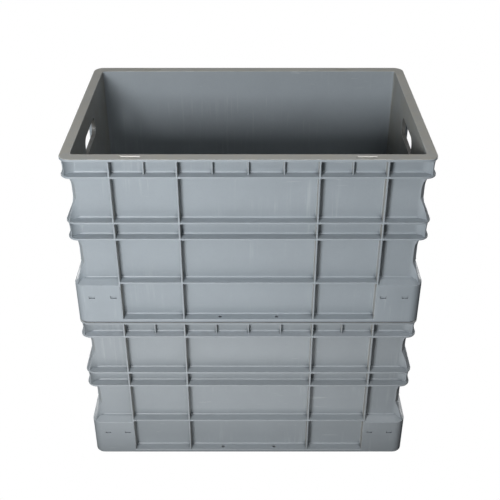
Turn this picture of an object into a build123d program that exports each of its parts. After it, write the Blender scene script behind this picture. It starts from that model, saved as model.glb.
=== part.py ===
from build123d import *
from math import cos, radians, sin, sqrt
import os

os.makedirs("parts", exist_ok=True)

# Two identical stacking crates of the 600 x 400 mm Euro footprint, one nested on the other.
# Each crate is one injection moulding. Millimetres, +Z up, long side along X.
# The origin is the centre of the footprint, on the surface that the lower crate stands on.

# Driving dimensions
LENGTH = 600.0          # over the rim and the rings, along X
WIDTH = 400.0           # over the rim and the rings, along Y
STACK_PITCH = 320.0     # rim of one crate to the rim of the next
NEST = 15.0             # how far the foot drops into the rim below
WALL = 3.0
SHORT_RECESS = 14.0     # ring edge to wall face on the short sides
LONG_RECESS = 17.0      # ring edge to wall face on the long sides
RING_CORNER = 18.0      # plan radius of the rim and the rings
CAVITY_CORNER = 6.0     # plan radius inside
NEST_GAP = 1.5          # clearance round the foot when nested

HEIGHT = STACK_PITCH + NEST
HALF_X = LENGTH / 2
HALF_Y = WIDTH / 2
WALL_X = HALF_X - SHORT_RECESS
WALL_Y = HALF_Y - LONG_RECESS
CAVITY_X = WALL_X - WALL
CAVITY_Y = WALL_Y - WALL
FOOT_X = CAVITY_X - NEST_GAP
FOOT_Y = CAVITY_Y - NEST_GAP

# Rim, rings and foot flange. Levels are the tops, measured down from the rim.
RIM_THICK = 3.0
RIM_LIP = 4.5
RIM_EDGE = 1.2
LIP_THICK = 3.0
RING_THICK = 3.5
RING_EDGE = 1.0
RING_DROPS = (31.0, 114.7, 146.0, 234.0)
RING_TOPS = [HEIGHT - drop for drop in RING_DROPS]
FLANGE_TOP = NEST + 7.5
FLANGE_THICK = 3.0
LIP_UNDER = NEST + 1.2  # the outer skin stops short of the rim below; small ribs inside it stand on the rim
REST_SET_BACK = 7.0     # outer end of those ribs behind the ring edge
RIM_UNDER = HEIGHT - RIM_THICK
ROOT = 2.5              # fillet where a ring or flange meets the wall
OVERLAP = 1.0           # how far pieces run into each other before they are fused

# Upright ribs
RIB_THICK = 3.0
RIB_EDGE = 0.8
RIB_SET_BACK = 0.5      # rib edge behind the ring edge
RIB_ROOT = 1.5
LONG_RIBS = (113.6, 221.4)
SHORT_RIBS = (75.0,)
TICK_THICK = 2.5
TICK_DEPTH = 8.0
LONG_TICKS = (0.0, 57.5, 167.0)
SHORT_TICKS = (0.0, 37.5, 112.5)

# Smooth plates round the four bottom corners
PLATE_ALONG_X = 78.5
PLATE_ALONG_Y = 78.5
LEDGE_DROP = 6.0        # how much the lowest ring falls outwards over the corner plates
LEDGE_LEVEL = 4.0       # width of the level strip next to the wall, before it starts to fall
PLATE_TOP = RING_TOPS[3] - LEDGE_DROP
LABEL_SLOT = (10.5, 6.0, 2.0)
LABEL_SLOT_X = (233.5, 271.0)
LABEL_SLOT_Z = HEIGHT - 265.0

# Diagonal corner webs
WEB_TIP_HALF_ANGLE = 5.5
WEB_TIP_INSET = 1.0
WEB_ROOT = 10.0
WEB_GUSSET_HEIGHT = 27.0
WEB_FLARE_HEIGHT = 37.0
WEB_HOLLOW = 1.5
WEB_OVERSHOOT = 0.5
WEB_DEPTH = 25.0        # how far the web's solid reaches into the corner before the inside is cut out

# Hand holes in the short walls, lid catches in the rim, drain holes in the foot flange
HAND_LENGTH = 104.0
HAND_TOP = HEIGHT - 36.0
HAND_HEIGHT = 34.0
HAND_CORNER = 14.0
COLLAR_DEPTH = 4.0
COLLAR_WIDTH = 3.0
LID_CATCH_LENGTH = 33.0
LID_CATCH_WIDTH = 8.0
LID_CATCH_DEPTH = 2.4
LID_CATCH_AT = (187.0, HALF_Y - 9.0)
DRAIN_AT = (50.0, HALF_Y - 8.5)
DRAIN_RADIUS = 3.0

# Floor and the grid under it
FOOT_EDGE = 2.0
STEP_FILLET = 2.0
FLOOR_FILLET = 4.0
FLOOR_TOP = 6.5
FLOOR_UNDER = 3.5
GRID_PITCH = (56.3, 59.5)
GRID_CELLS = (10, 6)
GRID_RIB = 2.5


def prism(half_x, half_y, corner, low, high):
    """A rounded rectangle, centred on the Z axis, from one level to another."""
    outline = RectangleRounded(2 * half_x, 2 * half_y, corner)
    return extrude(Pos(0, 0, low) * outline, amount=high - low)


def block(x, y, z):
    """A box given as three (low, high) pairs."""
    sizes = [high - low for low, high in (x, y, z)]
    middle = [(high + low) / 2 for low, high in (x, y, z)]
    return Pos(*middle) * Box(*sizes)


def edges_at(solid, level):
    """The level edges of a solid at one height."""
    return solid.edges().filter_by_position(Axis.Z, level - 0.01, level + 0.01)


def edges_within(solid, level, half_x, half_y):
    """The level edges at one height that lie on or inside a rectangle."""
    return [edge for edge in edges_at(solid, level)
            if abs(edge.center().X) < half_x + 0.1 and abs(edge.center().Y) < half_y + 0.1]


def envelope_shell(low, high, edge_low, edge_high):
    """A thin upright band on the crate's outermost outline, its edges rounded."""
    outer = prism(HALF_X, HALF_Y, RING_CORNER, low, high)
    outer = fillet(edges_at(outer, low), edge_low)
    outer = fillet(edges_at(outer, high), edge_high)
    inner = prism(HALF_X - LIP_THICK, HALF_Y - LIP_THICK, RING_CORNER - LIP_THICK, low, high)
    return outer - inner


def four_corners(solid):
    """A solid made in the +X +Y corner, and its copies in the other three."""
    pair = [solid, mirror(solid, about=Plane.YZ)]
    return pair + [Rot(0, 0, 180) * each for each in pair]


def either_side(values):
    """Each value and its negative, without counting zero twice."""
    return sorted({sign * value for value in values for sign in (-1, 1)})


def ring_plate(top):
    """A flat ring flange, before the inside is cut out."""
    plate = prism(HALF_X, HALF_Y, RING_CORNER, top - RING_THICK, top)
    rims = edges_at(plate, top) + edges_at(plate, top - RING_THICK)
    return fillet(rims, RING_EDGE)


def rim_plate():
    """The flat rim, before the inside is cut out."""
    plate = prism(HALF_X, HALF_Y, RING_CORNER, RIM_UNDER, HEIGHT)
    return fillet(edges_at(plate, HEIGHT), RIM_EDGE)


def corner_zones(low, high):
    """The four corner regions that the corner plates cover, between two levels."""
    along_x = (HALF_X - PLATE_ALONG_X, HALF_X + OVERLAP)
    along_y = (HALF_Y - PLATE_ALONG_Y, HALF_Y + OVERLAP)
    return four_corners(block(along_x, along_y, (low, high)))


def foot_flange_webs():
    """The level webs of the lowest flange, one on each side between the corner plates."""
    level = (FLANGE_TOP - FLANGE_THICK, FLANGE_TOP)
    run_x = HALF_X - PLATE_ALONG_X
    run_y = HALF_Y - PLATE_ALONG_Y
    long_web = block((-run_x, run_x), (WALL_Y - OVERLAP, HALF_Y - OVERLAP), level)
    short_web = block((WALL_X - OVERLAP, HALF_X - OVERLAP), (-run_y, run_y), level)
    return [long_web, mirror(long_web, about=Plane.XZ), short_web, mirror(short_web, about=Plane.YZ)]


def level_strip(low, high):
    """The walls' outline grown by the level strip that the lowest ring has over the corner plates."""
    corner = CAVITY_CORNER + WALL + LEDGE_LEVEL
    return prism(WALL_X + LEDGE_LEVEL, WALL_Y + LEDGE_LEVEL, corner, low, high)


def walls():
    """The four walls with rim, rings and foot flange webs, filleted where they meet."""
    shell = prism(WALL_X, WALL_Y, CAVITY_CORNER + WALL, FLANGE_TOP - FLANGE_THICK, RIM_UNDER + OVERLAP)
    plates = [ring_plate(top) for top in RING_TOPS]
    ring_4 = (RING_TOPS[3] - 2 * RING_THICK, HEIGHT)
    plates[3] = plates[3] - [zone - level_strip(*ring_4) for zone in corner_zones(*ring_4)]
    whole = shell.fuse(rim_plate(), *plates, *foot_flange_webs())
    roots = edges_within(whole, RIM_UNDER, WALL_X, WALL_Y)
    roots += edges_within(whole, FLANGE_TOP, WALL_X, WALL_Y)
    for top in RING_TOPS:
        roots += edges_within(whole, top, WALL_X, WALL_Y)
        roots += edges_within(whole, top - RING_THICK, WALL_X, WALL_Y)
    return fillet(roots, ROOT)


def foot_flange():
    """The lowest flange's outer lip, and the small ribs under its webs, which stand on the rim below."""
    lip = envelope_shell(LIP_UNDER, FLANGE_TOP, RING_EDGE, RING_EDGE)
    half = TICK_THICK / 2
    height = (NEST, FLANGE_TOP - OVERLAP)
    pieces = [lip]
    for x in either_side(LONG_TICKS + LONG_RIBS[:1]):
        rib = block((x - half, x + half), (WALL_Y - OVERLAP, HALF_Y - REST_SET_BACK), height)
        pieces += [rib, mirror(rib, about=Plane.XZ)]
    for y in either_side(SHORT_TICKS):
        rib = block((WALL_X - OVERLAP, HALF_X - REST_SET_BACK), (y - half, y + half), height)
        pieces += [rib, mirror(rib, about=Plane.YZ)]
    return pieces


def rib_plan(thick, reach):
    """Plan of a rib that stands out along +Y from a wall face at Y = 0, with a flared root."""
    blade = Pos(0, (reach - OVERLAP) / 2) * Rectangle(thick, reach + OVERLAP)
    blade = fillet(blade.vertices().sort_by(Axis.Y)[-2:], RIB_EDGE)
    root = Pos(0, (RIB_ROOT - OVERLAP) / 2) * Rectangle(thick + 2 * RIB_ROOT, RIB_ROOT + OVERLAP)
    for side in (-1, 1):
        root -= Pos(side * (thick / 2 + RIB_ROOT), RIB_ROOT) * Circle(RIB_ROOT)
    return blade + root


def uprights(places, wall, turns, thick, reach, low, high):
    """Upright ribs at each place along a wall, on both of two opposite sides."""
    rib = extrude(Pos(0, wall, low) * rib_plan(thick, reach), amount=high - low)
    return [Rot(0, 0, turn) * Pos(place, 0, 0) * rib for place in places for turn in turns]


def ribs():
    """Full ribs from the rim to the foot flange, and the small ones in the top band."""
    full = (FLANGE_TOP - FLANGE_THICK / 2, RIM_UNDER + OVERLAP)
    short = (RING_TOPS[0] - OVERLAP, RIM_UNDER + OVERLAP)
    long_side = (WALL_Y, (0, 180))
    short_side = (WALL_X, (90, -90))
    pieces = uprights(either_side(LONG_RIBS), *long_side, RIB_THICK, LONG_RECESS - RIB_SET_BACK, *full)
    pieces += uprights(either_side(SHORT_RIBS), *short_side, RIB_THICK, SHORT_RECESS - RIB_SET_BACK, *full)
    pieces += uprights(either_side(LONG_TICKS), *long_side, TICK_THICK, TICK_DEPTH, *short)
    pieces += uprights(either_side(SHORT_TICKS), *short_side, TICK_THICK, TICK_DEPTH, *short)
    return pieces


def corner_ledge():
    """The lowest ring over the corner plates: a level strip, then a slope down to the plates' top edge."""
    edge = RING_EDGE
    level = LEDGE_LEVEL
    outer = RectangleRounded(2 * (HALF_X - edge), 2 * (HALF_Y - edge), RING_CORNER - edge)
    inner = RectangleRounded(2 * (WALL_X + level), 2 * (WALL_Y + level), CAVITY_CORNER + WALL + level)
    slope = loft([Pos(0, 0, PLATE_TOP) * outer, Pos(0, 0, RING_TOPS[3]) * inner], ruled=True)
    base = extrude(Pos(0, 0, PLATE_TOP - RING_THICK) * outer, amount=RING_THICK)
    return slope + base - Pos(0, 0, -RING_THICK) * slope


def corner_plates():
    """The smooth skins round the bottom corners, with the ledges over them and their end walls."""
    skin = envelope_shell(LIP_UNDER, PLATE_TOP, RING_EDGE, RING_EDGE)
    start_x = HALF_X - PLATE_ALONG_X
    start_y = HALF_Y - PLATE_ALONG_Y
    inside = (LIP_UNDER, PLATE_TOP - OVERLAP)
    long_end = block((start_x, start_x + WALL), (WALL_Y - OVERLAP, HALF_Y - OVERLAP), inside)
    short_end = block((WALL_X - OVERLAP, HALF_X - OVERLAP), (start_y, start_y + WALL), inside)
    ledge = corner_ledge()
    pieces = four_corners(long_end) + four_corners(short_end)
    for zone in corner_zones(0, HEIGHT):
        pieces += [skin & zone, ledge & zone]
    return pieces


WEB_CENTRE = (HALF_X - RING_CORNER, HALF_Y - RING_CORNER)
WEB_REACH = RING_CORNER - WEB_TIP_INSET


def web_tip(turn):
    """A point on the web's tip, turned from the 45 degree direction."""
    angle = radians(45 + turn)
    return (WEB_CENTRE[0] + WEB_REACH * cos(angle), WEB_CENTRE[1] + WEB_REACH * sin(angle))


def web_outline():
    """Plan of one corner web: coves off both walls, meeting in a narrow tip at the ring's corner."""
    front_tip, tip, side_tip = [web_tip(turn) for turn in (WEB_TIP_HALF_ANGLE, 0, -WEB_TIP_HALF_ANGLE)]
    front_root = (WALL_X - WEB_ROOT, WALL_Y)
    side_root = (WALL_X, WALL_Y - WEB_ROOT)
    inner = (WALL_X - WEB_ROOT, WALL_Y - WEB_ROOT)
    front_cove = TangentArc(front_root, front_tip, tangent=(1, 0))
    side_cove = TangentArc(side_root, side_tip, tangent=(0, 1))
    nose = ThreePointArc(front_tip, tip, side_tip)
    back = Polyline(side_root, inner, front_root)
    return make_face(front_cove + nose + side_cove + back)


# The diagonal plane through a corner: its own x is the distance out along the diagonal, y is height.
DIAGONAL_FOOT = ((HALF_X - HALF_Y) / 2, (HALF_Y - HALF_X) / 2, 0)
DIAGONAL = Plane(origin=DIAGONAL_FOOT, x_dir=(1, 1, 0), z_dir=(1, -1, 0))
DIAGONAL_OUT = sum(WEB_CENTRE) / sqrt(2) + WEB_REACH + WEB_OVERSHOOT
WALL_OUT = (WALL_X + WALL_Y - 2 * (CAVITY_CORNER + WALL)) / sqrt(2) + CAVITY_CORNER + WALL
DEEP = WALL_OUT - WEB_DEPTH


def tall_profile(low, high):
    """Web profile in a tall panel: a round gusset under the upper ring and a long flare to the lower one."""
    flare_top = low + WEB_FLARE_HEIGHT
    gusset_foot = high - WEB_GUSSET_HEIGHT
    reach = DIAGONAL_OUT - WALL_OUT
    corners = [(DEEP, high), (DEEP, low), (DIAGONAL_OUT, low), (WALL_OUT, flare_top), (WALL_OUT, gusset_foot)]
    flare = Polyline(*corners)
    middle = (DIAGONAL_OUT, gusset_foot)
    gusset = EllipticalCenterArc(middle, reach, WEB_GUSSET_HEIGHT, start_angle=90, arc_size=90)
    top = Line((DIAGONAL_OUT, high), (DEEP, high))
    return make_face(flare + gusset + top)


def narrow_profile(low, high):
    """Web profile in a narrow band: out to the rings, very slightly hollow."""
    middle = (DIAGONAL_OUT - WEB_HOLLOW, (low + high) / 2)
    back = Polyline((DIAGONAL_OUT, high), (DEEP, high), (DEEP, low), (DIAGONAL_OUT, low))
    hollow = ThreePointArc((DIAGONAL_OUT, low), middle, (DIAGONAL_OUT, high))
    return make_face(back + hollow)


def corner_webs():
    """The webs of all four corners, in every band between the rim and the corner plates."""
    bands = [
        (narrow_profile, RING_TOPS[0], RIM_UNDER),
        (tall_profile, RING_TOPS[1], RING_TOPS[0] - RING_THICK),
        (narrow_profile, RING_TOPS[2], RING_TOPS[1] - RING_THICK),
        (tall_profile, PLATE_TOP, RING_TOPS[2] - RING_THICK),
        (narrow_profile, LIP_UNDER + OVERLAP, PLATE_TOP - OVERLAP),
    ]
    lap = OVERLAP / 2
    pieces = []
    for profile, low, high in bands:
        column = extrude(Pos(0, 0, low - lap) * web_outline(), amount=high - low + 2 * lap)
        slab = extrude(DIAGONAL * profile(low - lap, high + lap), amount=WEB_DEPTH, both=True)
        pieces += four_corners(column & slab)
    return pieces


def hand_hole(grow, inner, outer):
    """The hand hole's rounded outline, grown all round, from one distance off the middle to another."""
    outline = RectangleRounded(HAND_LENGTH + 2 * grow, HAND_HEIGHT + 2 * grow, HAND_CORNER + grow)
    centre = (inner, 0, HAND_TOP - HAND_HEIGHT / 2)
    return extrude(Plane(origin=centre, x_dir=(0, 1, 0), z_dir=(1, 0, 0)) * outline, amount=outer - inner)


def hand_hole_collars():
    """A raised collar round each hand hole, on the outside of the wall."""
    collar = hand_hole(COLLAR_WIDTH, WALL_X - OVERLAP, WALL_X + COLLAR_DEPTH)
    face = collar.faces().sort_by(Axis.X)[-1]
    collar = fillet(face.edges(), RING_EDGE)
    return [collar, mirror(collar, about=Plane.YZ)]


def inside():
    """Everything cut out of the crate: the inside, the foot's inside, and the hand holes."""
    step = FLANGE_TOP - FLANGE_THICK
    cavity = prism(CAVITY_X, CAVITY_Y, CAVITY_CORNER, step, HEIGHT + OVERLAP)
    cavity = fillet(edges_at(cavity, step), STEP_FILLET)
    well = prism(FOOT_X - WALL, FOOT_Y - WALL, CAVITY_CORNER, FLOOR_TOP, FLANGE_TOP)
    well = fillet(edges_at(well, FLOOR_TOP), FLOOR_FILLET)
    hand = hand_hole(0, CAVITY_X - WALL, HALF_X + WALL)
    return [cavity, well, hand, mirror(hand, about=Plane.YZ)]


def lid_catch():
    """A shallow recess in the rim: an upright wall on its inner side, and a floor that rises outwards."""
    x, y = LID_CATCH_AT
    inner = y - LID_CATCH_WIDTH / 2
    outer = y + LID_CATCH_WIDTH / 2
    top = HEIGHT + OVERLAP
    corners = [(inner, top), (inner, HEIGHT - LID_CATCH_DEPTH), (outer, HEIGHT), (outer, top)]
    profile = Plane.YZ * make_face(Polyline(*corners, close=True))
    return Pos(x, 0, 0) * extrude(profile, amount=LID_CATCH_LENGTH / 2, both=True)


def small_cuts():
    """Lid catches in the rim, drain holes through the foot flange, label slots in the corner plates."""
    drain = Pos(*DRAIN_AT, FLANGE_TOP) * Cylinder(DRAIN_RADIUS, 4 * FLANGE_THICK)
    cuts = four_corners(lid_catch()) + four_corners(drain)
    width, height, depth = LABEL_SLOT
    for x in LABEL_SLOT_X:
        slot = Pos(x, HALF_Y, LABEL_SLOT_Z) * Box(width, 2 * depth, height)
        cuts += four_corners(slot)
    return cuts


def underside_pockets():
    """The hollows between the grid ribs under the floor."""
    columns, rows = GRID_CELLS
    pitch_x, pitch_y = GRID_PITCH
    half_x = (pitch_x - GRID_RIB) / 2
    half_y = (pitch_y - GRID_RIB) / 2
    pocket = block((-half_x, half_x), (-half_y, half_y), (-OVERLAP, FLOOR_UNDER))
    pockets = []
    for column in range(columns):
        for row in range(rows):
            x = (column - (columns - 1) / 2) * pitch_x
            y = (row - (rows - 1) / 2) * pitch_y
            pockets.append(Pos(x, y, 0) * pocket)
    return pockets


def crate():
    """One whole crate, standing on its foot."""
    foot = prism(FOOT_X, FOOT_Y, CAVITY_CORNER + FOOT_EDGE, 0, FLANGE_TOP)
    foot = fillet(edges_at(foot, 0), FOOT_EDGE)
    rim_lip = envelope_shell(HEIGHT - RIM_LIP, HEIGHT, RIB_EDGE, RIM_EDGE)
    solids = [foot, rim_lip] + foot_flange() + ribs() + corner_plates() + corner_webs() + hand_hole_collars()
    whole = walls() + solids
    whole = whole - (inside() + underside_pockets() + small_cuts())
    return fillet(edges_within(whole, HEIGHT, CAVITY_X, CAVITY_Y), RIM_EDGE)


one = crate()
export_step(one, "parts/lower_crate.step")
export_step(Pos(0, 0, STACK_PITCH) * one, "parts/upper_crate.step")
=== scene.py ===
from math import radians

import bmesh
import bpy
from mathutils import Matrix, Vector


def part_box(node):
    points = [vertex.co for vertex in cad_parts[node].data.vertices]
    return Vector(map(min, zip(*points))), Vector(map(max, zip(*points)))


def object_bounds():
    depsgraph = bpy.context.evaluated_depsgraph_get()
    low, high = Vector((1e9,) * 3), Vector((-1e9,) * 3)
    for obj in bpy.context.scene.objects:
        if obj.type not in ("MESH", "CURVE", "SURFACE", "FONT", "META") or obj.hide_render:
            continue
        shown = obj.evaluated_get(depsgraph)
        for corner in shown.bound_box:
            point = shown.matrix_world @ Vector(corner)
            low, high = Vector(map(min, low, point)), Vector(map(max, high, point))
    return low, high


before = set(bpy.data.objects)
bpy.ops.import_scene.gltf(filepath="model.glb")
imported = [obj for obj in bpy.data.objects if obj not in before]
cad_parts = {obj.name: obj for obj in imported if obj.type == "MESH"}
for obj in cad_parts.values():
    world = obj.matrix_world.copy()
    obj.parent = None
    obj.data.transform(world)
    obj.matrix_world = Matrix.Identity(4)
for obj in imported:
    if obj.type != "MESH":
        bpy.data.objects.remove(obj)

CAD_LOW, CAD_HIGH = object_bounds()

# Two nested stacking crates, each moulded in one piece. Lengths are in metres, in the CAD model's frame.
# The crates themselves are the CAD nodes. This script gives them their plastic, a floor, light and a camera.

# CAD node, material slot, a shift that makes the two crates' marks differ, a tint, and whether another crate
# stands on it, which paints shadow along its rim's edge
CRATES = (
    ("lower_crate", "lower_crate_shell", (3.7, 1.9, 0.0), (0.254, 0.281, 0.302), 1.0),
    ("upper_crate", "upper_crate_shell", (0.0, 0.0, 0.0), (0.256, 0.290, 0.318), 0.0),
)

# Where the marks and the painted shade, shadow, highlight and warm bounce light lie on a crate. Heights are
# above its foot, the rest is from its middle. A pair is where a mark starts and where it is full. The hand
# hole's pair is its limits, and the catch's pairs are X and Y.
CRATE_LOW, CRATE_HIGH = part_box("lower_crate")
CRATE_HEIGHT = CRATE_HIGH.z - CRATE_LOW.z
HALF_LENGTH = CRATE_HIGH.x
HALF_WIDTH = CRATE_HIGH.y
INNER_HALF_LENGTH = 0.283
# Where the painted warm bounce light on the inner end walls starts and where it is full
BOUNCE_DISTANCES = (INNER_HALF_LENGTH + 0.001, INNER_HALF_LENGTH)
PAST_INNER_WALL = INNER_HALF_LENGTH + 0.0002
HAND_HOLE_HALF_LENGTH = 0.0535
HAND_HOLE_HEIGHTS = (0.264, 0.300)
DUSTY_HEIGHTS = (CRATE_HEIGHT - 0.130, CRATE_HEIGHT - 0.035)
RIM_HEIGHTS = (CRATE_HEIGHT - 0.010, CRATE_HEIGHT - 0.004)
RIM_EDGE_HEIGHTS = (CRATE_HEIGHT - 0.0022, CRATE_HEIGHT - 0.0010)
RIM_EDGE_INSETS = (-0.0030, -0.0016)
FLANGE_UNDER = 0.0152
FLANGE_EDGE_HEIGHTS = (0.0186, 0.0168)
CATCH_MIDDLE = (0.187, 0.191)
CATCH_HALF_SIZE = (0.0167, 0.0043)
CATCH_FLOOR = CRATE_HEIGHT - 0.0027
EDGE_RADIUS = 0.0016
CREASE_REACH = 0.012

# The part of a face's normal, upward or along X, at which a mark starts and at which it is full
LEVEL_FACE = (0.55, 0.9)
UPRIGHT_FACE = (0.5, 0.2)
END_FACE = (0.6, 0.9)
CATCH_WALL = (0.9, 0.5)

# Colours of the plastic's marks, and of the shade, shadow, highlight and warm bounce light painted on it
WORN = (0.435, 0.425, 0.375)
DUST = (0.37, 0.41, 0.45)
# Painted warm bounce light on the inner end walls
WARM_BOUNCE = (0.27, 0.262, 0.225)
# Painted shade, blue black, for the creases and along the joint between the crates
PAINTED_SHADE = (0.045, 0.055, 0.068)
# Painted shade at the hand holes
HAND_HOLE_SHADE = (0.09, 0.086, 0.072)
# Painted highlight on the lid catches
PAINTED_CATCH_HIGHLIGHT = (0.66, 0.65, 0.62)
RUBBED = (0.42, 0.45, 0.475)

# How much of the plastic's colour the marks, the painted shadow and the painted highlight hide, and how much
# rougher the marks make it
RUB_AMOUNT = 0.30
SCUFF_AMOUNT = 0.35
EDGE_WEAR_AMOUNT = 0.45
# How dark the painted shadow along the joint is
JOINT_SHADOW_AMOUNT = 0.52
# How strong the painted highlight on the lid catches is
CATCH_HIGHLIGHT_AMOUNT = 0.9
DUST_ROUGHNESS = 0.16
RUB_ROUGHNESS = 0.25

# The plastic's relief, in metres, and its refraction
GRAIN = 0.000035
WAVE = 0.00045
STREAK = 0.00002
RELIEF_STRENGTH = 0.55
PLASTIC_IOR = 1.49

# Camera, placed from the middle of the stack and the height of the upper rim
CAMERA_BACK = 1.3977
CAMERA_ABOVE_RIM = 0.6002
CAMERA_RIGHT = 0.0027
CAMERA_PITCH = 32.66
CAMERA_LENS = 61.39
SENSOR = 36.0

# Studio
WHITE = (1.0, 1.0, 1.0, 1.0)
BACKDROP_RADIUS = 9.0
BACKDROP_SEGMENTS = 96
BELOW_FLOOR = -0.01
WORLD_LIGHT = 0.0
LAMPS = (
    # name, place, aimed at, width and height, power in watts
    ("key", (-0.485, -1.35, 0.96), (-0.10, -0.18, 0.35), (0.38, 0.34), 20.0),
    ("top", (0.60, -1.20, 2.40), (0.0, 0.0, 0.40), (1.20, 1.20), 8.5),
    ("bounce", (-0.37, -0.745, 0.01), (-0.37, -0.725, 1.0), (1.20, 0.89), 4.8),
    ("back", (0.0, 2.20, 1.55), (0.0, 0.0, 0.655), (2.0, 0.8), 4.5),
    # Two fills behind, lower than the rim, for the back and the ends
    ("rear_left", (-1.20, 1.15, 0.33), (0.0, 0.0, 0.33), (0.9, 0.6), 14.0),
    ("rear_right", (1.20, 1.15, 0.33), (0.0, 0.0, 0.33), (0.9, 0.6), 14.0),
)


class Nodes:
    """The node tree of a material or a world, emptied, with short ways to add nodes to it."""

    def __init__(self, owner):
        owner.use_nodes = True
        self.tree = owner.node_tree
        self.tree.nodes.clear()

    def feed(self, socket, value):
        """Give a socket another node's output, or a plain value."""
        if isinstance(value, bpy.types.NodeSocket):
            self.tree.links.new(value, socket)
        else:
            socket.default_value = value

    def add(self, kind, inputs=None, **settings):
        """A new node with its settings and inputs."""
        node = self.tree.nodes.new("ShaderNode" + kind)
        for name, value in settings.items():
            setattr(node, name, value)
        for name, value in (inputs or {}).items():
            self.feed(node.inputs[name], value)
        return node

    def math(self, operation, first, second=0.5, clamp=False):
        """One step of arithmetic. Some operations, such as ABSOLUTE, don't use the second value."""
        return self.add("Math", {0: first, 1: second}, operation=operation, use_clamp=clamp).outputs["Value"]

    def product(self, first, *others):
        """All the factors multiplied."""
        for other in others:
            first = self.math("MULTIPLY", first, other)
        return first

    def ramp(self, value, low, high, start=0.0, end=1.0):
        """A smooth step from start, at low, to end, at high."""
        inputs = {"Value": value, "From Min": low, "From Max": high, "To Min": start, "To Max": end}
        return self.add("MapRange", inputs, interpolation_type="SMOOTHSTEP").outputs["Result"]

    def within(self, value, low, high):
        """1 between two limits, 0 outside them."""
        return self.product(self.math("GREATER_THAN", value, low), self.math("LESS_THAN", value, high))

    def noise(self, vector, scale, detail=4.0, rough=0.5, distortion=0.0):
        """Fractal noise, 0 to 1, with its scale in marks per metre."""
        inputs = {"Vector": vector, "Scale": scale, "Detail": detail, "Roughness": rough,
                  "Distortion": distortion}
        return self.add("TexNoise", inputs).outputs["Fac"]

    def stretched(self, vector, scale):
        """Coordinates scaled along each axis."""
        return self.add("Mapping", {"Vector": vector, "Scale": scale}).outputs["Vector"]

    def blend(self, factor, below, above):
        """One colour over another."""
        node = self.add("Mix", data_type="RGBA")
        self.feed(node.inputs[0], factor)
        for socket, colour in ((node.inputs[6], below), (node.inputs[7], above)):
            self.feed(socket, (*colour, 1) if isinstance(colour, tuple) else colour)
        return node.outputs[2]


class Surface(Nodes):
    """A crate material's nodes, and the measures of the shaded point that its marks depend on."""

    def __init__(self, material, foot, shift):
        super().__init__(material)
        place = self.add("TexCoord").outputs["Object"]
        axes = self.add("SeparateXYZ", {"Vector": place}).outputs
        self.here = self.add("Mapping", {"Vector": place, "Location": shift}).outputs["Vector"]
        self.off_x = self.math("ABSOLUTE", axes["X"])
        self.off_y = self.math("ABSOLUTE", axes["Y"])
        self.height = self.math("SUBTRACT", axes["Z"], foot)
        self.normal = self.add("NewGeometry").outputs["Normal"]
        facing = self.add("SeparateXYZ", {"Vector": self.normal}).outputs
        self.rise = facing["Z"]
        self.up = self.ramp(facing["Z"], *LEVEL_FACE)
        self.upright = self.ramp(self.math("ABSOLUTE", facing["Z"]), *UPRIGHT_FACE)
        self.endwise = self.ramp(self.math("ABSOLUTE", facing["X"]), *END_FACE)
        self.streak = self.noise(self.stretched(self.here, (1.0, 1.0, 0.05)), 150.0, 3.0, 0.6)


def shade(tint, amount):
    """A colour made darker or lighter."""
    return tuple(amount * part for part in tint)


def resin(skin, tint):
    """The plastic's own colour: slow unevenness of the moulding and fine speckle in the resin."""
    cloud = skin.noise(skin.here, 7.0, 5.0, 0.6, 0.3)
    mottle = skin.noise(skin.here, 38.0, 4.0, 0.6)
    speck = skin.noise(skin.here, 620.0, 2.0, 0.6)
    colour = skin.blend(skin.ramp(cloud, 0.3, 0.7, 0.0, 0.35), tint, shade(tint, 0.90))
    colour = skin.blend(skin.ramp(mottle, 0.35, 0.7, 0.0, 0.22), colour, shade(tint, 1.10))
    return skin.blend(skin.ramp(speck, 0.56, 0.74, 0.0, 0.25), colour, shade(tint, 0.72))


def rub_marks(skin):
    """Fine upright streaks on the walls and a few long level scuffs."""
    patch = skin.ramp(skin.noise(skin.here, 9.0, 3.0, 0.55), 0.46, 0.68)
    rubbed = skin.product(skin.ramp(skin.streak, 0.52, 0.72), patch, skin.upright, RUB_AMOUNT)
    level = skin.noise(skin.stretched(skin.here, (0.12, 0.12, 1.0)), 210.0, 2.0, 0.5, 0.4)
    patch = skin.ramp(skin.noise(skin.here, 5.0, 2.0), 0.52, 0.62)
    scuffed = skin.product(skin.ramp(level, 0.66, 0.74), patch, skin.upright, SCUFF_AMOUNT)
    return skin.math("MAXIMUM", rubbed, scuffed)


def worn_edges(skin):
    """Paler, worn edges."""
    bevel = skin.add("Bevel", {"Radius": EDGE_RADIUS}, samples=6).outputs["Normal"]
    turn = skin.add("VectorMath", {0: bevel, 1: skin.normal}, operation="DOT_PRODUCT").outputs["Value"]
    patch = skin.ramp(skin.noise(skin.here, 90.0, 4.0, 0.65), 0.35, 0.62)
    return skin.product(skin.ramp(turn, 0.985, 0.90), patch, EDGE_WEAR_AMOUNT)


def end_wall_bounce(skin):
    """Painted warm bounce light, a faint brownish tint, on the inner end walls."""
    inner = skin.ramp(skin.off_x, *BOUNCE_DISTANCES)
    patch = skin.ramp(skin.noise(skin.here, 14.0, 4.0, 0.6), 0.30, 0.70, 0.45, 0.85)
    return skin.product(skin.endwise, inner, patch)


def settled_dust(skin):
    """Dust that lies on level faces, most of it on the top ring."""
    depth = skin.ramp(skin.height, *DUSTY_HEIGHTS, 0.10, 0.70)
    patch = skin.ramp(skin.noise(skin.here, 55.0, 5.0, 0.65), 0.30, 0.70, 0.6, 1.0)
    return skin.product(skin.up, depth, patch)


def rim_wear(skin):
    """The warmer, rubbed top of the rim."""
    patch = skin.ramp(skin.noise(skin.here, 42.0, 5.0, 0.7), 0.25, 0.65, 0.55, 0.95)
    return skin.product(skin.up, skin.ramp(skin.height, *RIM_HEIGHTS), patch)


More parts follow.
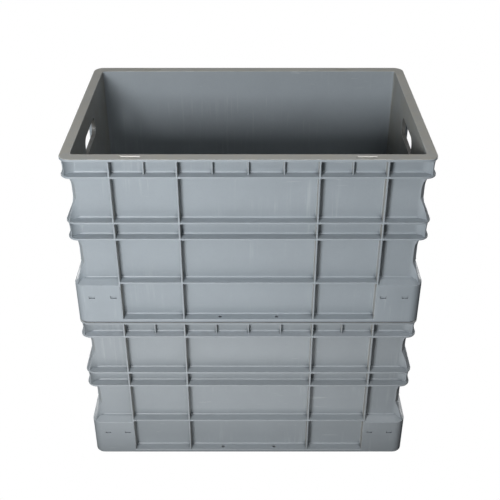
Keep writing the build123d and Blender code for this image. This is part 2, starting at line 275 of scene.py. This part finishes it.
def hand_hole_shading(skin):
    """Painted shade, a dark brown, on the end wall's faces at the hand holes."""
    past_wall = skin.math("GREATER_THAN", skin.off_x, PAST_INNER_WALL)
    beside = skin.math("LESS_THAN", skin.off_y, HAND_HOLE_HALF_LENGTH)
    patch = skin.ramp(skin.noise(skin.here, 60.0, 3.0), 0.3, 0.7, 0.75, 0.95)
    return skin.product(past_wall, beside, skin.within(skin.height, *HAND_HOLE_HEIGHTS), patch)


def crease_shade(skin):
    """Painted shade in the creases, darkest where they are narrowest."""
    openness = skin.add("AmbientOcclusion", {"Distance": CREASE_REACH}, samples=12).outputs["AO"]
    patch = skin.ramp(skin.noise(skin.here, 75.0, 4.0, 0.6), 0.30, 0.65, 0.35, 0.75)
    crease = skin.product(skin.ramp(openness, 0.66, 0.25), patch)
    return skin.math("MAXIMUM", crease, skin.ramp(openness, 0.48, 0.30, 0.0, 0.97))


def joint_shadow(skin, carries):
    """Painted shadow along the joint: the foot flange's lower edge, and the edge of a rim that carries a
    crate.
    """
    above = skin.math("GREATER_THAN", skin.height, FLANGE_UNDER)
    flange_edge = skin.product(skin.ramp(skin.height, *FLANGE_EDGE_HEIGHTS), above)
    past_end = skin.math("SUBTRACT", skin.off_x, HALF_LENGTH)
    past_side = skin.math("SUBTRACT", skin.off_y, HALF_WIDTH)
    inset = skin.ramp(skin.math("MAXIMUM", past_end, past_side), *RIM_EDGE_INSETS)
    rim_edge = skin.product(skin.ramp(skin.height, *RIM_EDGE_HEIGHTS, 0.0, carries), inset)
    return skin.product(skin.math("MAXIMUM", flange_edge, rim_edge), JOINT_SHADOW_AMOUNT)


def catch_highlight(skin):
    """A painted highlight on the upright walls of the lid catches."""
    along = skin.math("ABSOLUTE", skin.math("SUBTRACT", skin.off_x, CATCH_MIDDLE[0]))
    aside = skin.math("ABSOLUTE", skin.math("SUBTRACT", skin.off_y, CATCH_MIDDLE[1]))
    inside = skin.product(skin.math("LESS_THAN", along, CATCH_HALF_SIZE[0]),
                          skin.math("LESS_THAN", aside, CATCH_HALF_SIZE[1]))
    wall = skin.product(skin.math("GREATER_THAN", skin.height, CATCH_FLOOR),
                        skin.ramp(skin.rise, *CATCH_WALL))
    return skin.product(inside, wall, CATCH_HIGHLIGHT_AMOUNT)


def roughness(skin, marks, dusty):
    """Satin, a little rougher where it is rubbed, dusty or worn."""
    rough = skin.ramp(skin.noise(skin.here, 24.0, 5.0, 0.6), 0.25, 0.75, 0.42, 0.54)
    rough = skin.math("ADD", rough, skin.product(dusty, DUST_ROUGHNESS))
    return skin.math("ADD", rough, skin.product(marks, RUB_ROUGHNESS), True)


def relief(skin):
    """Grain, a slight waviness and the upright streaks."""
    grain = skin.product(skin.noise(skin.here, 1500.0, 2.0, 0.5), GRAIN)
    wave = skin.product(skin.noise(skin.here, 16.0, 2.0, 0.5), WAVE)
    height = skin.math("ADD", skin.math("ADD", grain, wave), skin.product(skin.streak, STREAK))
    bump = skin.add("Bump", {"Strength": RELIEF_STRENGTH, "Distance": 1.0, "Height": height})
    return bump.outputs["Normal"]


def plastic(name, foot, shift, tint, carries):
    """Moulded grey polypropylene, satin, with the dust, rubbing and wear of a crate in use, and painted
    shade, shadow, highlight and warm bounce light.
    """
    material = bpy.data.materials.new(name)
    skin = Surface(material, foot, shift)
    marks = rub_marks(skin)
    dust = settled_dust(skin)
    wear = rim_wear(skin)
    layers = (
        (marks, RUBBED),
        (worn_edges(skin), RUBBED),
        # painted warm bounce light on the inner end walls
        (end_wall_bounce(skin), WARM_BOUNCE),
        (dust, DUST),
        (wear, WORN),
        # painted shade at the hand holes
        (hand_hole_shading(skin), HAND_HOLE_SHADE),
        # painted shade in the creases and painted shadow along the joint
        (skin.math("MAXIMUM", crease_shade(skin), joint_shadow(skin, carries)), PAINTED_SHADE),
        # painted highlight on the lid catches
        (catch_highlight(skin), PAINTED_CATCH_HIGHLIGHT),
    )
    colour = resin(skin, tint)
    for amount, mark in layers:
        colour = skin.blend(amount, colour, mark)
    rough = roughness(skin, marks, skin.math("MAXIMUM", dust, wear))
    shader = skin.add("BsdfPrincipled", {"Base Color": colour, "Roughness": rough, "Normal": relief(skin)})
    shader.inputs["IOR"].default_value = PLASTIC_IOR
    skin.add("OutputMaterial", {"Surface": shader.outputs["BSDF"]})
    return material


def backdrop(name):
    """A plain, self-lit white material for the floor and the backdrop."""
    material = bpy.data.materials.new(name)
    nodes = Nodes(material)
    glow = nodes.add("Emission", {"Color": WHITE, "Strength": 1.0})
    nodes.add("OutputMaterial", {"Surface": glow.outputs["Emission"]})
    return material


def floor():
    """A round floor."""
    bpy.ops.mesh.primitive_circle_add(vertices=BACKDROP_SEGMENTS, radius=BACKDROP_RADIUS,
                                      fill_type="NGON", location=(0, 0, CAD_LOW.z))
    disc = bpy.context.object
    disc.name = "studio_floor"
    return disc


def dome():
    """The upper half of a sphere over the floor."""
    bpy.ops.mesh.primitive_uv_sphere_add(segments=BACKDROP_SEGMENTS, ring_count=BACKDROP_SEGMENTS // 2,
                                         radius=BACKDROP_RADIUS, location=(0, 0, CAD_LOW.z))
    half = bpy.context.object
    half.name = "studio_dome"
    shape = bmesh.new()
    shape.from_mesh(half.data)
    below = [vertex for vertex in shape.verts if vertex.co.z < BELOW_FLOOR]
    bmesh.ops.delete(shape, geom=below, context="VERTS")
    shape.to_mesh(half.data)
    shape.free()
    return half


def surroundings():
    """The white floor and dome. The camera sees both, the plastic reflects only the dome."""
    white = backdrop("studio_white")
    for piece, glossy in ((floor(), False), (dome(), True)):
        piece.data.materials.append(white)
        piece.visible_diffuse = False
        piece.visible_glossy = glossy
        piece.visible_shadow = False


def lights():
    """A dark world, and the soft boxes."""
    world = bpy.data.worlds.new("studio")
    nodes = Nodes(world)
    sky = nodes.add("Background", {"Color": WHITE, "Strength": WORLD_LIGHT})
    nodes.add("OutputWorld", {"Surface": sky.outputs["Background"]})
    bpy.context.scene.world = world
    for name, place, target, (width, height), power in LAMPS:
        data = bpy.data.lights.new(name, "AREA")
        data.shape = "RECTANGLE"
        data.size = width
        data.size_y = height
        data.energy = power
        lamp = bpy.data.objects.new(name, data)
        lamp.location = place
        lamp.rotation_euler = (Vector(target) - Vector(place)).to_track_quat("-Z", "Y").to_euler()
        lamp.visible_camera = False
        bpy.context.scene.collection.objects.link(lamp)


def camera():
    """The camera, in front of the stack and above it, pitched down."""
    data = bpy.data.cameras.new("camera")
    data.sensor_width = SENSOR
    data.lens = CAMERA_LENS
    eye = bpy.data.objects.new("camera", data)
    eye.location = (CAMERA_RIGHT, -CAMERA_BACK, CAD_HIGH.z + CAMERA_ABOVE_RIM)
    eye.rotation_euler = (radians(90 - CAMERA_PITCH), 0, 0)
    bpy.context.scene.collection.objects.link(eye)
    bpy.context.scene.camera = eye


camera()
for node, slot, shift, tint, carries in CRATES:
    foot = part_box(node)[0].z
    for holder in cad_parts[node].material_slots:
        holder.material = plastic(slot, foot, shift, tint, carries)
surroundings()
lights()
bpy.context.scene.view_settings.view_transform = "Standard"
